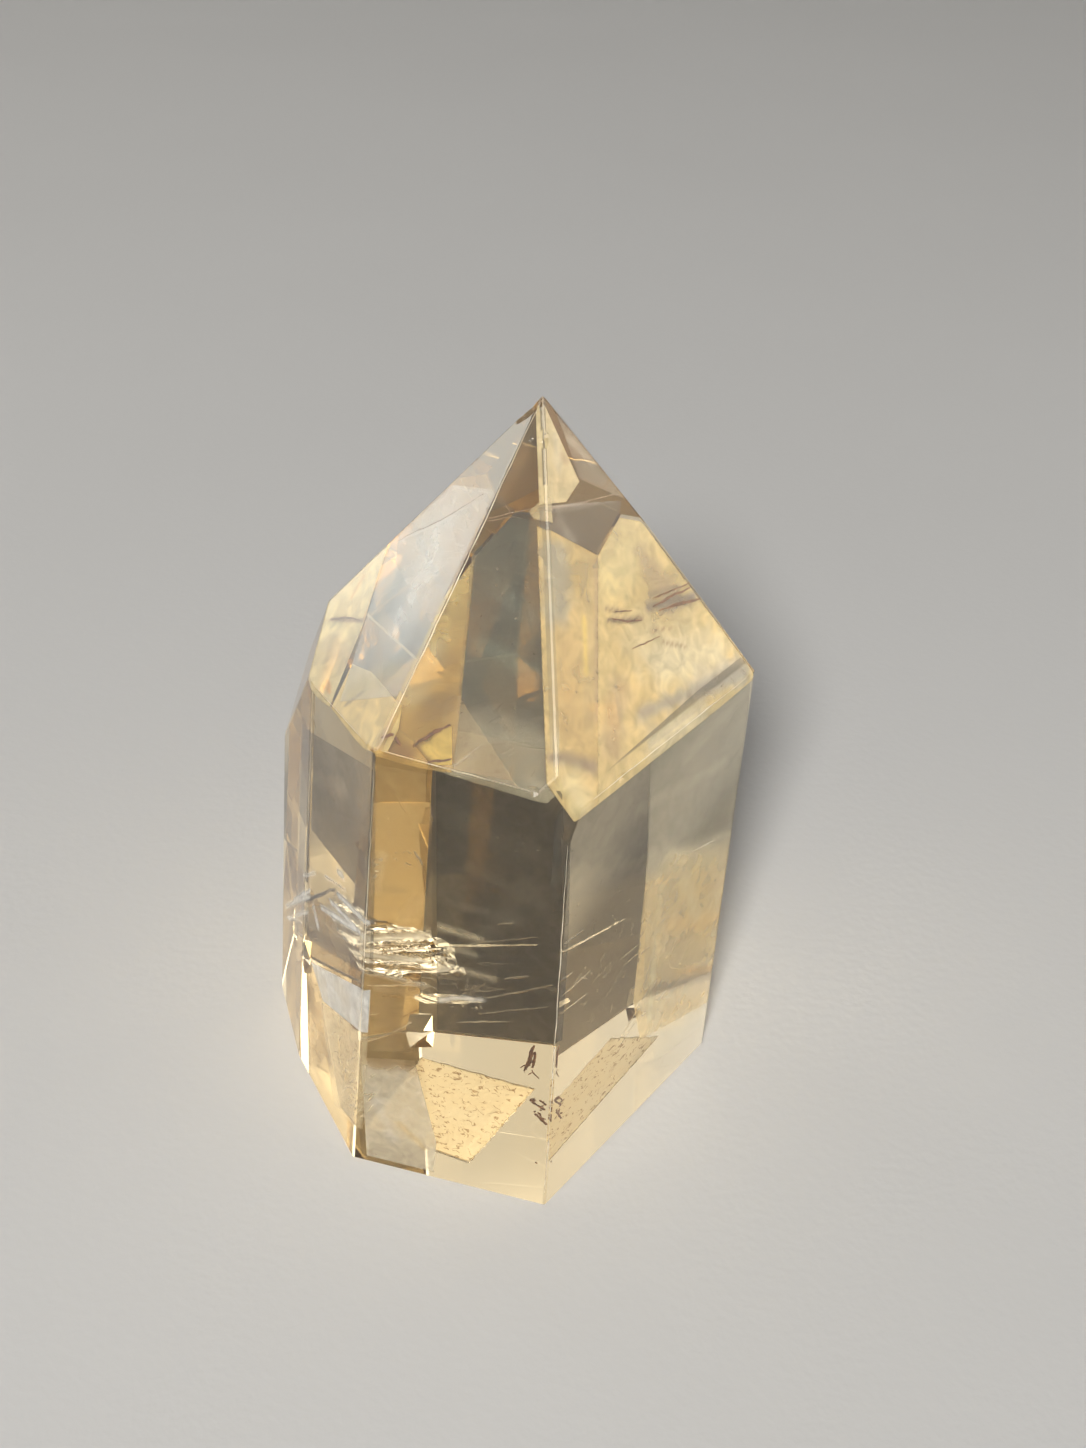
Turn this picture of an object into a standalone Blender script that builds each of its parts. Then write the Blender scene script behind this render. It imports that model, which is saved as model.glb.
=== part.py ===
# Polished citrine point: one quartz crystal, cut flat at its foot so that it stands.
# Seven walls rise from the foot, six faces meet at the tip, and four smaller faces
# cut corners between them.  One open cleft runs in from the front left edge.
# Metres, +Z up.  The origin is the middle of the foot.
#
# Every face is a flat plane.  Its bearing is turned round +Z from the front (-Y)
# towards the right (+X), and its slope is how far it looks up; both are in degrees.

import math

import bmesh
import bpy
from mathutils import Matrix, Vector, noise

# ---------------------------------------------------------------- driving dimensions

tip = Vector((0.0034, -0.0018, 0.0750))

# bearing, slope, distance from the origin
walls = {
    "wallFront": (-15.3, -0.6, 0.02071),
    "wallRight": (53.0, -1.4, 0.01838),
    "wallRightBack": (108.0, -0.8, 0.02100),
    "wallBack": (179.8, 1.5, 0.01994),
    "wallLeftBack": (-146.6, 2.6, 0.01824),
    "wallLeft": (-72.5, 4.0, 0.02098),
    "wallLeftFront": (-61.9, 3.1, 0.02025),
}

# bearing, slope; each of these runs through the tip
pointFaces = {
    "pointFront": (-10.9, 40.4),
    "pointRight": (53.2, 30.9),
    "pointRightBack": (106.0, 37.1),
    "pointBack": (177.2, 39.9),
    "pointLeftBack": (-130.8, 35.8),
    "pointLeft": (-67.4, 38.4),
}

# bearing, slope, distance from the origin
cornerFaces = {
    "cornerFront": (14.6, 15.5, 0.03598),
    "cornerRight": (122.0, 31.5, 0.04151),
    "cornerBack": (-157.3, 16.3, 0.02972),
    "cornerLeft": (-89.6, 17.4, 0.03068),
}

wallEdgeFlat = 0.00034      # width of the worn flat along each upright edge
pointEdgeFlat = 0.00020     # the same along the edges of the point
footEdgeFlat = 0.00030      # the same round the foot
shortestWornEdge = 0.0012   # edges shorter than this keep their corner

# Shell-shaped chips: each is scooped out of the edge from one corner to the next,
# at a share of the way along it.  A corner is named by the three faces that meet.
tipCorner = ("pointLeft", "pointFront", "pointRight")
chips = {
    "tipChip": dict(
        start=tipCorner, end=("pointLeft", "pointLeftBack", "cornerLeft"),
        share=0.052, radius=0.00115, sink=0.00042, flatness=0.55),
    "tipEdgeChip": dict(
        start=tipCorner, end=("pointLeft", "pointLeftBack", "cornerLeft"),
        share=0.088, radius=0.00085, sink=0.00026, flatness=0.60),
    "tipFrontChip": dict(
        start=tipCorner, end=("pointLeft", "pointFront", "wallFront"),
        share=0.030, radius=0.00070, sink=0.00024, flatness=0.60),
    "tipRightChip": dict(
        start=tipCorner, end=("pointFront", "pointRight", "cornerFront"),
        share=0.115, radius=0.00095, sink=0.00030, flatness=0.50),
    "shoulderChip": dict(
        start=("pointRight", "cornerFront", "wallRight"),
        end=("pointRight", "cornerRight", "wallRight"),
        share=0.21, radius=0.00075, sink=0.00022, flatness=0.60),
    "cornerChip": dict(
        start=("pointFront", "wallFront", "cornerFront"),
        end=("pointFront", "wallFront", "pointLeft"),
        share=0.03, radius=0.00080, sink=0.00026, flatness=0.55),
    "footChip": dict(
        start=("wallBack", "wallLeftBack", "foot"),
        end=("wallBack", "wallLeftBack", "cornerBack"),
        share=0.012, radius=0.00210, sink=0.00110, flatness=0.70),
}
chipSubdivisions = 1
chipWander = 0.24           # how far a chip's bed leaves an even ball, as a share of it

# The cleft: a thin shell-shaped gap that leaves the stone at the front left edge.
cleft = dict(
    middle=Vector((-0.0088, -0.0138, 0.0268)), halfLength=0.0084, halfWidth=0.0058,
    turn=12.0, leanAlong=-5.0, leanAcross=2.0,
    gap=0.00012, rimGap=0.00003, ripple=0.00019, ripples=5.0, wander=0.38)
cleftSegments = 56
cleftRings = 24

citrineColour = (0.93, 0.74, 0.38, 1.0)
citrineIor = 1.55
citrineRoughness = 0.04


# ---------------------------------------------------------------- planes and corners

def outward(bearing, slope):
    turn = math.radians(bearing)
    tilt = math.radians(slope)
    level = math.cos(tilt)
    return Vector((math.sin(turn) * level, -math.cos(turn) * level, math.sin(tilt)))


def namedPlanes():
    """Every face as its outward direction and its distance from the origin."""
    planes = {"foot": (Vector((0.0, 0.0, -1.0)), 0.0)}
    for name, (bearing, slope, distance) in {**walls, **cornerFaces}.items():
        planes[name] = (outward(bearing, slope), distance)
    for name, (bearing, slope) in pointFaces.items():
        facing = outward(bearing, slope)
        planes[name] = (facing, facing.dot(tip))
    return planes


def corner(planes, names):
    """The point where three named faces meet."""
    facings = [planes[name][0] for name in names]
    distances = Vector([planes[name][1] for name in names])
    return Matrix(facings).inverted() @ distances


# ---------------------------------------------------------------- the crystal's solid

def cutFlat(mesh, facing, distance):
    """Takes off what lies beyond a plane, and closes the cut."""
    cut = bmesh.ops.bisect_plane(
        mesh, geom=mesh.verts[:] + mesh.edges[:] + mesh.faces[:], dist=1e-7,
        plane_co=facing * distance, plane_no=facing, clear_outer=True)
    rim = [item for item in cut["geom_cut"] if isinstance(item, bmesh.types.BMEdge)]
    if len(rim) > 2:
        bmesh.ops.contextual_create(mesh, geom=rim)


def wornFlats(mesh):
    """A narrow plane across each edge, set as deep as its flat is wide."""
    flats = []
    for edge in mesh.edges:
        if edge.calc_length() < shortestWornEdge:
            continue
        first, second = (face.normal for face in edge.link_faces)
        ends = [vertex.co for vertex in edge.verts]
        width = wallEdgeFlat
        if first.z < -0.9 or second.z < -0.9:
            width = footEdgeFlat
        elif max(first.z, second.z) > 0.4:
            width = pointEdgeFlat
        facing = (first + second).normalized()
        depth = width / 2 * math.tan(first.angle(second) / 2)
        flats.append((facing, facing.dot(ends[0]) - depth))
    return flats


def crystalMesh(planes):
    mesh = bmesh.new()
    bmesh.ops.create_cube(mesh, size=4 * tip.z)
    for facing, distance in planes.values():
        cutFlat(mesh, facing, distance)
    bmesh.ops.remove_doubles(mesh, verts=mesh.verts[:], dist=2e-5)
    bmesh.ops.dissolve_degenerate(mesh, edges=mesh.edges[:], dist=2e-5)
    mesh.normal_update()
    for facing, distance in wornFlats(mesh):
        cutFlat(mesh, facing, distance)
    bmesh.ops.remove_doubles(mesh, verts=mesh.verts[:], dist=2e-6)
    bmesh.ops.dissolve_degenerate(mesh, edges=mesh.edges[:], dist=2e-6)
    bmesh.ops.recalc_face_normals(mesh, faces=mesh.faces[:])
    return mesh


# ---------------------------------------------------------------- chips

def chipCutter(name, planes, chip):
    """A flattened, uneven ball that scoops one chip out of an edge."""
    start = corner(planes, chip["start"])
    end = corner(planes, chip["end"])
    touching = [planes[face][0] for face in chip["start"] if face in chip["end"]]
    facing = sum(touching, Vector()).normalized()
    middle = start.lerp(end, chip["share"])
    along = (end - start).normalized()
    across = facing.cross(along).normalized()
    reach = chip["radius"] * chip["flatness"]

    cutter = bmesh.new()
    bmesh.ops.create_icosphere(
        cutter, subdivisions=chipSubdivisions, radius=chip["radius"])
    for vertex in cutter.verts:
        way = vertex.co.normalized()
        uneven = math.sin(5.1 * way.x + 2.0) * math.sin(6.3 * way.y + 1.0)
        uneven += 0.6 * math.sin(9.0 * way.z)
        vertex.co *= 1 + chipWander * uneven
    squash = Matrix.Diagonal((1.0, 1.0, chip["flatness"], 1.0))
    turn = Matrix((along, across, facing)).transposed().to_4x4()
    place = Matrix.Translation(middle + facing * (reach - chip["sink"]))
    bmesh.ops.transform(cutter, matrix=place @ turn @ squash, verts=cutter.verts[:])
    bmesh.ops.recalc_face_normals(cutter, faces=cutter.faces[:])

    return addCutter(name, cutter)


# ---------------------------------------------------------------- the cleft

def cleftPoint(share, angle, side):
    """A point of one skin of the cleft, in the cleft's own axes.

    Its ripples are arcs round a spot that lies beyond one of its long sides.
    """
    halfLength, halfWidth = cleft["halfLength"], cleft["halfWidth"]
    way = Vector((math.cos(angle), math.sin(angle), 0.0))
    edge = share * (1 + cleft["wander"] * noise.noise(1.7 * way))
    x = halfLength * edge * way.x
    y = halfWidth * edge * way.y
    spread = math.hypot(x - 0.15 * halfLength, y - 3.2 * halfWidth) / halfWidth
    wobble = noise.noise(Vector((220 * x, 500 * y, 0.0)))
    z = cleft["ripple"] * math.sin(math.pi * cleft["ripples"] * spread + 1.6 * wobble)
    z += cleft["ripple"] * noise.noise(Vector((180 * x, 350 * y, 1.0)))
    gap = cleft["rimGap"] + (cleft["gap"] - cleft["rimGap"]) * (1 - share * share)
    return Vector((x, y, z + side * gap / 2))


def cleftCutter():
    """Two rippled skins a hair apart, closed round the rim."""
    cutter = bmesh.new()
    rims = []
    for side in (-1, 1):
        hub = cutter.verts.new(cleftPoint(0.0, 0.0, side))
        last = None
        for ring in range(1, cleftRings + 1):
            row = [
                cutter.verts.new(cleftPoint(ring / cleftRings, math.tau * step / cleftSegments, side))
                for step in range(cleftSegments)]
            for step in range(cleftSegments):
                after = (step + 1) % cleftSegments
                if last is None:
                    cutter.faces.new((hub, row[step], row[after]))
                else:
                    cutter.faces.new((last[step], row[step], row[after], last[after]))
            last = row
        rims.append(last)
    low, high = rims
    for step in range(cleftSegments):
        after = (step + 1) % cleftSegments
        cutter.faces.new((low[step], low[after], high[after], high[step]))
    bmesh.ops.triangulate(cutter, faces=cutter.faces[:])
    bmesh.ops.recalc_face_normals(cutter, faces=cutter.faces[:])

    turn = Matrix.Rotation(math.radians(cleft["turn"]), 4, "Z")
    lean = (Matrix.Rotation(math.radians(cleft["leanAlong"]), 4, "Y")
            @ Matrix.Rotation(math.radians(cleft["leanAcross"]), 4, "X"))
    place = Matrix.Translation(cleft["middle"])
    bmesh.ops.transform(cutter, matrix=place @ turn @ lean, verts=cutter.verts[:])
    return addCutter("cleft", cutter)


# ---------------------------------------------------------------- objects and material

def addObject(name, mesh):
    data = bpy.data.meshes.new(name)
    mesh.to_mesh(data)
    mesh.free()
    body = bpy.data.objects.new(name, data)
    bpy.context.scene.collection.objects.link(body)
    return body


def addCutter(name, mesh):
    body = addObject(name, mesh)
    body.hide_render = True
    body.display_type = "WIRE"
    return body


def scoopOut(crystal, cutter):
    scoop = crystal.modifiers.new(cutter.name, "BOOLEAN")
    scoop.operation = "DIFFERENCE"
    scoop.solver = "EXACT"
    scoop.object = cutter


def citrine():
    material = bpy.data.materials.new("citrine")
    material.use_nodes = True
    shader = material.node_tree.nodes["Principled BSDF"]
    shader.inputs["Base Color"].default_value = citrineColour
    shader.inputs["Metallic"].default_value = 0.0
    shader.inputs["Roughness"].default_value = citrineRoughness
    shader.inputs["IOR"].default_value = citrineIor
    shader.inputs["Transmission Weight"].default_value = 1.0
    return material


def clearScene():
    for old in list(bpy.data.objects):
        bpy.data.objects.remove(old, do_unlink=True)


def build():
    clearScene()
    planes = namedPlanes()
    crystal = addObject("citrine_point", crystalMesh(planes))
    crystal.data.materials.append(citrine())
    for name, chip in chips.items():
        scoopOut(crystal, chipCutter(name, planes, chip))
    scoopOut(crystal, cleftCutter())


build()
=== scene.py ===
import math
import random

import bpy
import bmesh
from mathutils import Matrix, Vector, noise


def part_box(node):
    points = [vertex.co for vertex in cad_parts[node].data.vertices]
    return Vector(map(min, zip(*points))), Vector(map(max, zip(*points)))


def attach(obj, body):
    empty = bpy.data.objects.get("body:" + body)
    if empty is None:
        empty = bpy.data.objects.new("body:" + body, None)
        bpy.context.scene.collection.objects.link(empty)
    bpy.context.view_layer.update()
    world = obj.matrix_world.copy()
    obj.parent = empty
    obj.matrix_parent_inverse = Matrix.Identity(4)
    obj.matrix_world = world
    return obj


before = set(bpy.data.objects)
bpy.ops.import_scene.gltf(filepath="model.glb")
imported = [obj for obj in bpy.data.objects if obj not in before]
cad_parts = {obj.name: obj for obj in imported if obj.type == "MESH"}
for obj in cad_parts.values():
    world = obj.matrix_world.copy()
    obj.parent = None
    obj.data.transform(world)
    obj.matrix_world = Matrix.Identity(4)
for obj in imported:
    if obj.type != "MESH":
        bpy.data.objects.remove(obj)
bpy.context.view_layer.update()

mm = 0.001
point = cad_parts["citrine_point"]
pointLow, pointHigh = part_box("citrine_point")
print("frame loaded, crystal is %.1f mm tall" % ((pointHigh.z - pointLow.z) / mm))


# material helpers: each one adds a node or two and hands on the output
def newMaterial(name, build, look):
    # build(tree, place, look) hands on what goes into the output node
    material = bpy.data.materials.new(name)
    material.use_nodes = True
    tree = material.node_tree
    tree.nodes.clear()
    addNode(tree, "ShaderNodeOutputMaterial", **build(tree, objectPlace(tree), look))
    return material


def plug(tree, value, socket):
    if isinstance(value, bpy.types.NodeSocket):
        tree.links.new(value, socket)
    else:
        socket.default_value = value


def addNode(tree, kind, settings=None, **inputs):
    node = tree.nodes.new(kind)
    for key, value in (settings or {}).items():
        setattr(node, key, value)
    for key, value in inputs.items():
        plug(tree, value, node.inputs[key.replace("_", " ")])
    return node


def objectPlace(tree):
    return addNode(tree, "ShaderNodeTexCoord").outputs["Object"]


def cloudNoise(tree, place, scale, detail=1.0, bend=0.0):
    return addNode(tree, "ShaderNodeTexNoise", Vector=place, Scale=scale, Detail=detail,
                   Distortion=bend).outputs["Fac"]


def turnedPlace(tree, place, turn, stretch):
    return addNode(tree, "ShaderNodeMapping", Vector=place, Rotation=turn, Scale=stretch).outputs["Vector"]


def remap(tree, value, span, result=(0.0, 1.0), soft=False):
    kind = dict(interpolation_type="SMOOTHSTEP") if soft else None
    return addNode(tree, "ShaderNodeMapRange", kind, Value=value, From_Min=span[0], From_Max=span[1],
                   To_Min=result[0], To_Max=result[1]).outputs["Result"]


def bumpFrom(tree, height, strength, depth, inward=False):
    return addNode(tree, "ShaderNodeBump", dict(invert=inward), Strength=strength, Distance=depth,
                   Height=height).outputs["Normal"]


def maths(tree, operation, first, second=0.0):
    node = addNode(tree, "ShaderNodeMath", dict(operation=operation))
    plug(tree, first, node.inputs[0])
    plug(tree, second, node.inputs[1])
    return node.outputs["Value"]


def nearMiddle(tree, field, width, strength):
    # thin lines where a noise field crosses its middle value
    offMiddle = maths(tree, "ABSOLUTE", maths(tree, "SUBTRACT", field, 0.5))
    return remap(tree, offMiddle, (0.0, width), (strength, 0.0))


def blendColours(tree, share, first, second):
    node = addNode(tree, "ShaderNodeMix", dict(data_type="RGBA"), Factor=share)
    for name, value in (("A", first), ("B", second)):
        plug(tree, (*value, 1) if isinstance(value, tuple) else value, node.inputs[name])
    return node.outputs["Result"]


def mixShaders(tree, share, first, second):
    node = tree.nodes.new("ShaderNodeMixShader")
    for value, socket in zip((share, first, second), node.inputs):
        plug(tree, value, socket)
    return node.outputs[0]


def mattSkin(tree, **inputs):
    return dict(Surface=addNode(tree, "ShaderNodeBsdfPrincipled", **inputs).outputs["BSDF"])


def addObject(name, data):
    thing = bpy.data.objects.new(name, data)
    bpy.context.scene.collection.objects.link(thing)
    return thing


def inStone(name, bm, material, smooth=True):
    # turns a mesh drawn in mm into a piece that sits in the stone
    bmesh.ops.recalc_face_normals(bm, faces=bm.faces)
    mesh = bpy.data.meshes.new(name)
    bm.to_mesh(mesh)
    bm.free()
    mesh.transform(Matrix.Scale(mm, 4))
    mesh.materials.append(material)
    for face in mesh.polygons:
        face.use_smooth = smooth
    piece = addObject(name, mesh)
    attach(piece, "root")


# camera
viewPoint = dict(
    place=(4.08, -128.07, 131.76),   # mm
    tiltDown=35.338, turn=0.054, roll=1.647,   # degrees
    focalPixels=1669.63, frameHeight=1448, sensorHeight=36,
    nearest=0.005,   # m
)


def makeCamera():
    v = viewPoint
    turn, tilt, roll = (math.radians(v[k]) for k in ("turn", "tiltDown", "roll"))
    forward = Vector((math.sin(turn) * math.cos(tilt), math.cos(turn) * math.cos(tilt), -math.sin(tilt)))
    level = Vector((math.cos(turn), -math.sin(turn), 0))
    upright = level.cross(forward)
    right = level * math.cos(roll) + upright * math.sin(roll)
    up = upright * math.cos(roll) - level * math.sin(roll)
    data = bpy.data.cameras.new("view")
    data.sensor_fit = "VERTICAL"
    data.sensor_height = v["sensorHeight"]
    data.lens = v["sensorHeight"] * v["focalPixels"] / v["frameHeight"]
    data.clip_start = v["nearest"]
    camera = addObject("view", data)
    turnMatrix = Matrix((right, up, -forward)).transposed().to_4x4()
    camera.matrix_world = Matrix.Translation(Vector(v["place"]) * mm) @ turnMatrix
    bpy.context.scene.camera = camera


makeCamera()
print("camera placed")

# floor
floorLook = dict(
    halfWidth=3.0, below=0.15,   # m, mm under the foot
    paper=(0.64, 0.635, 0.625), paperDark=(0.60, 0.595, 0.585), cloudPerMetre=9.0, cloudDetail=2.0,
    grainPerMetre=900, grainDetail=3.0, grainHeight=0.00006, grainStrength=0.6, roughness=0.85,
)


def paperSkin(tree, place, look):
    grain = cloudNoise(tree, place, look["grainPerMetre"], look["grainDetail"])
    cloud = cloudNoise(tree, place, look["cloudPerMetre"], look["cloudDetail"])
    return mattSkin(tree, Base_Color=blendColours(tree, cloud, look["paper"], look["paperDark"]),
                    Roughness=look["roughness"],
                    Normal=bumpFrom(tree, grain, look["grainStrength"], look["grainHeight"]))


def makeFloor():
    look = floorLook
    mesh = bpy.data.meshes.new("floor")
    w = look["halfWidth"]
    z = pointLow.z - look["below"] * mm
    mesh.from_pydata([(-w, -w, z), (w, -w, z), (w, w, z), (-w, w, z)], [], [(0, 1, 2, 3)])
    floor = addObject("floor", mesh)
    mesh.materials.append(newMaterial("paleFloorPaper", paperSkin, look))


makeFloor()
print("floor laid")

# light: a tent seen only through the stone, and three soft lamps for the floor
studio = dict(
    tent=(1.05, 1.03, 1.00), horizon=(0.30, 0.30, 0.30),
    tentRise=(0.18, 0.36),                 # sine of height
    lowBand=0.45, bandFall=(0.36, 0.56),   # the tent's lower part is brighter by this share
    glows=[   # toward, colour, strength, cosine where it fades out
        ((-0.82, 0.56, 0.14), (0.92, 1.0, 0.96), 1.6, 0.93),
        ((-0.80, 0.58, 0.18), (0.94, 1.0, 0.98), 2.4, 0.989),
        ((0.05, -0.68, 0.73), (1.0, 0.99, 0.94), 1.6, 0.975),
        ((0.97, 0.15, 0.14), (1.0, 0.95, 0.86), 1.2, 0.93),
        ((-0.41, -0.49, 0.77), (1.0, 0.98, 0.94), 0.6, 0.975),
        ((0.11, -0.79, 0.60), (1.0, 0.98, 0.94), 1.3, 0.95),
        ((-0.34, -0.74, 0.57), (1.0, 0.98, 0.94), 0.6, 0.95),
        ((0.49, 0.54, 0.69), (1.0, 0.98, 0.94), 2.2, 0.95),
        ((0.18, 0.39, 0.90), (1.0, 0.98, 0.94), 3.2, 0.95),
        ((0.64, 0.45, 0.63), (1.0, 0.98, 0.94), 4.5, 0.975),
        ((-0.54, -0.09, 0.84), (1.0, 0.98, 0.94), 0.7, 0.95),
        ((0.72, -0.38, 0.58), (1.0, 0.95, 0.84), 6.4, 0.82),
        ((-0.93, -0.28, 0.22), (1.0, 0.98, 0.94), 7.5, 0.885),
        ((0.40, -0.83, 0.38), (1.0, 0.96, 0.88), 3.5, 0.90),
    ],
)


def makeTent():
    look = studio
    world = bpy.data.worlds.new("studioTent")
    world.use_nodes = True
    bpy.context.scene.world = world
    tree = world.node_tree
    tree.nodes.clear()
    way = addNode(tree, "ShaderNodeTexCoord").outputs["Generated"]
    height = addNode(tree, "ShaderNodeSeparateXYZ", Vector=way).outputs["Z"]
    rise = remap(tree, height, look["tentRise"], soft=True)
    fall = remap(tree, height, look["bandFall"], (1 + look["lowBand"], 1.0), soft=True)
    sky = blendColours(tree, rise, look["horizon"], look["tent"])
    light = addNode(tree, "ShaderNodeBackground", Color=sky, Strength=fall).outputs[0]
    for toward, colour, strength, fade in look["glows"]:
        facing = addNode(tree, "ShaderNodeVectorMath", dict(operation="DOT_PRODUCT"))
        plug(tree, way, facing.inputs[0])
        facing.inputs[1].default_value = Vector(toward).normalized()
        shape = remap(tree, facing.outputs["Value"], (fade, 1.0), soft=True)
        power = maths(tree, "MULTIPLY", shape, strength)
        glow = addNode(tree, "ShaderNodeBackground", Color=(*colour, 1), Strength=power)
        both = addNode(tree, "ShaderNodeAddShader")
        plug(tree, light, both.inputs[0])
        plug(tree, glow.outputs[0], both.inputs[1])
        light = both.outputs[0]
    addNode(tree, "ShaderNodeOutputWorld", Surface=light)
    world.cycles_visibility.diffuse = False
    world.cycles.sampling_method = "NONE"   # the tent is only reached through the stone


softLights = dict(   # mm and W
    keyFront=dict(place=(-200, -1080, 830), size=300, power=23.5, colour=(1.0, 0.985, 0.96)),
    backLeft=dict(place=(-420, 420, 420), size=200, power=0.2, colour=(1.0, 0.97, 0.92)),
    overhead=dict(place=(0, 0, 900), size=900, power=0.15, colour=(1.0, 1.0, 1.0)),
)
lampTarget = (0, 0, 20)   # mm


def makeLights():
    target = Vector(lampTarget) * mm
    for name, look in softLights.items():
        data = bpy.data.lights.new(name, "AREA")
        data.shape = "DISK"
        data.size = look["size"] * mm
        data.energy = look["power"]
        data.color = look["colour"]
        lamp = addObject(name, data)
        place = Vector(look["place"]) * mm
        turned = (place - target).to_track_quat("Z", "Y").to_matrix().to_4x4()
        lamp.matrix_world = Matrix.Translation(place) @ turned
        lamp.visible_glossy = False
        lamp.visible_transmission = False


lightPath = dict(through=12, clear=14, matt=2)   # how often light may turn, pass a clear sheet, scatter


def setLightPath():
    scene = bpy.context.scene
    scene.view_settings.view_transform = "Standard"
    scene.cycles.max_bounces = lightPath["through"]
    scene.cycles.transmission_bounces = lightPath["through"]
    scene.cycles.glossy_bounces = lightPath["through"]
    scene.cycles.transparent_max_bounces = lightPath["clear"]
    scene.cycles.diffuse_bounces = lightPath["matt"]


makeTent()
makeLights()
setLightPath()
print("studio lit")

# citrine
citrineLook = dict(
    indexOfRefraction=1.55,
    # the stone takes (1 - colour) * density of each colour per metre
    absorbColour=(0.704, 0.54, 0.148), absorbDensity=25.0,
    hairlineScale=150, hairlineWidth=0.006, hairlineDepth=0.000004, hairlineStrength=0.6,
    hairlineTurn=(0.4, 0.9, 0.3), hairlineStretch=(0.16, 1.0, 0.5), hairlineRough=0.15,
    patchScale=70.0, patchFrom=0.52, patchFull=0.62,   # where the hairlines gather
    skin=(1.0, 0.995, 0.985), skinClear=(1.0, 1.0, 1.0),
)


def citrineSkin(tree, place, look):
    turned = turnedPlace(tree, place, look["hairlineTurn"], look["hairlineStretch"])
    field = cloudNoise(tree, turned, look["hairlineScale"])
    patches = cloudNoise(tree, place, look["patchScale"])
    where = remap(tree, patches, (look["patchFrom"], look["patchFull"]))
    scratch = maths(tree, "MULTIPLY", nearMiddle(tree, field, look["hairlineWidth"], 1.0), where)
    bump = bumpFrom(tree, scratch, look["hairlineStrength"], look["hairlineDepth"], inward=True)
    tone = blendColours(tree, patches, look["skin"], look["skinClear"])
    stone = addNode(tree, "ShaderNodeBsdfPrincipled", Base_Color=tone,
                    Roughness=maths(tree, "MULTIPLY", scratch, look["hairlineRough"]),
                    IOR=look["indexOfRefraction"], Transmission_Weight=1.0, Normal=bump)
    depth = addNode(tree, "ShaderNodeVolumeAbsorption", Color=(*look["absorbColour"], 1),
                    Density=look["absorbDensity"])
    return dict(Surface=stone.outputs["BSDF"], Volume=depth.outputs["Volume"])


def dressPoint():
    for slot in point.material_slots:
        slot.material = newMaterial("polishedCitrine", citrineSkin, citrineLook)


dressPoint()
print("citrine polished")

# frosted patch on the foot
footPatch = dict(
    corners=[(-3.3, 12.0), (8.5, 7.0), (-1.0, -14.6), (-11.3, -9.0)],
    lift=0.06, thick=0.05, pit=0.035, steps=60,
    edgeWander=0.25, wanderScale=0.9, otherNoise=(7, 3, 0), rimPower=8,
    shoulder=6, shoulderFoot=0.3,   # how fast the patch rises from its rim, where it starts
    pitScale=2.6, finePitScale=6.5, finePitShare=0.4,
    gold=(0.96, 0.86, 0.66), pale=(0.97, 0.93, 0.82), cloudScale=180.0, cloudDetail=3.0,
    fleck=(0.34, 0.20, 0.08), fleckScale=1100, fleckWidth=0.05, fleckBend=0.8, fleckStrength=0.9,
    fleckTurn=(0, 0, 0.5), fleckStretch=(1.0, 0.6, 1.0),
    gapScale=880, gapFrom=0.50, gapFull=0.56,   # breaks the fleck lines into short pieces
    bumpStrength=0.8, bumpDepth=0.00005, roughness=0.28, dust=0.2,
)


def frostSkin(tree, place, look):
    cloud = cloudNoise(tree, place, look["cloudScale"], look["cloudDetail"])
    tone = blendColours(tree, cloud, look["gold"], look["pale"])
    turned = turnedPlace(tree, place, look["fleckTurn"], look["fleckStretch"])
    grain = cloudNoise(tree, turned, look["fleckScale"], bend=look["fleckBend"])
    fleck = nearMiddle(tree, grain, look["fleckWidth"], look["fleckStrength"])
    kept = remap(tree, cloudNoise(tree, place, look["gapScale"]), (look["gapFrom"], look["gapFull"]))
    colour = blendColours(tree, maths(tree, "MULTIPLY", fleck, kept), tone, look["fleck"])
    bump = bumpFrom(tree, grain, look["bumpStrength"], look["bumpDepth"])
    ground = addNode(tree, "ShaderNodeBsdfGlossy", Color=colour, Roughness=look["roughness"], Normal=bump)
    dusty = addNode(tree, "ShaderNodeBsdfDiffuse", Color=colour)
    return dict(Surface=mixShaders(tree, look["dust"], ground.outputs["BSDF"], dusty.outputs["BSDF"]))


def patchSpot(s, t, top):
    # a spot on the patch, s and t run from 0 to 1 along its sides
    look = footPatch
    a, b, c, d = (Vector((*corner, 0)) for corner in look["corners"])
    spot = (a * (1 - s) + b * s) * (1 - t) + (d * (1 - s) + c * s) * t
    rim = max(abs(2 * s - 1), abs(2 * t - 1)) ** look["rimPower"]
    scaled = spot * look["wanderScale"]
    wander = Vector((noise.noise(scaled), noise.noise(scaled + Vector(look["otherNoise"])), 0))
    spot += wander * look["edgeWander"] * rim
    height = look["lift"]
    if top:
        inner = min(1.0, look["shoulder"] * min(s, 1 - s, t, 1 - t) + look["shoulderFoot"])
        pits = 0.5 + 0.5 * noise.noise(spot * look["pitScale"])
        pits += look["finePitShare"] * noise.noise(spot * look["finePitScale"])
        height += look["thick"] * inner + look["pit"] * pits * inner
    spot.z = height
    return spot


def rimOf(rows):
    n = len(rows) - 1
    return ([rows[i][0] for i in range(n)] + [rows[n][j] for j in range(n)]
            + [rows[i][n] for i in range(n, 0, -1)] + [rows[0][j] for j in range(n, 0, -1)])


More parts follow.
